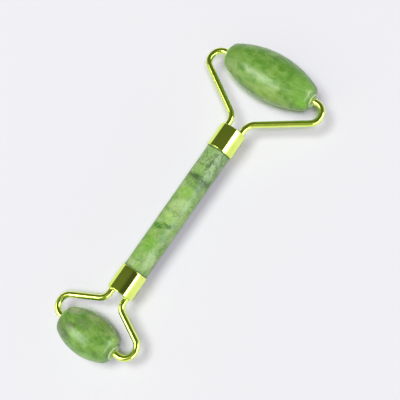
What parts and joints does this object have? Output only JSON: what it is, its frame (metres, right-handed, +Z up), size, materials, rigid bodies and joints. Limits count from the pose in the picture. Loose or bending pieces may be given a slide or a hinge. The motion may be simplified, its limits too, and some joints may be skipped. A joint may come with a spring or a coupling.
{
  "type": "jade face roller",
  "caption": "Double-ended jade face roller: a stone handle with gold-tone wire forks, each carrying a barrel-shaped stone that spins freely.",
  "frame": {"origin": "on the table under the middle of the roller's bounding box, the roller lying on the crowns of its two stones", "axes": "+Y along the handle towards the large head, +X along the roller axles, +Z up from the table"},
  "size_m": [0.0566, 0.1452, 0.0199],
  "materials": {
    "handle_jade": "polished, cloudy pale green with grey-green veins",
    "roller_jade": "polished, mid green, slightly translucent",
    "gilt_metal": "bright plated, mirror polished, lime-gold tint",
    "solder": "plated over, slightly uneven",
    "bush_plastic": "milky clear, smooth",
    "epoxy": "cured, glassy amber"
  },
  "bodies": {
    "frame": {"handle_stone": "handle_jade", "large_ferrule": "gilt_metal", "small_ferrule": "gilt_metal", "large_fork": "gilt_metal", "small_fork": "gilt_metal", "large_solder": "solder", "small_solder": "solder", "large_glue_plug": "epoxy", "small_glue_plug": "epoxy"},
    "large_roller": {"large_stone": "roller_jade", "large_bush_left": "bush_plastic", "large_bush_right": "bush_plastic"},
    "small_roller": {"small_stone": "roller_jade", "small_bush_left": "bush_plastic", "small_bush_right": "bush_plastic"}
  },
  "joints": [
    {"name": "large_roll", "type": "hinge", "parent": "frame", "child": "large_roller", "pos_m": [0, 0.06261, 0.00995], "axis": [1, 0, 0], "continuous": true},
    {"name": "small_roll", "type": "hinge", "parent": "frame", "child": "small_roller", "pos_m": [0, -0.06386, 0.0087], "axis": [1, 0, 0], "continuous": true}
  ]
}
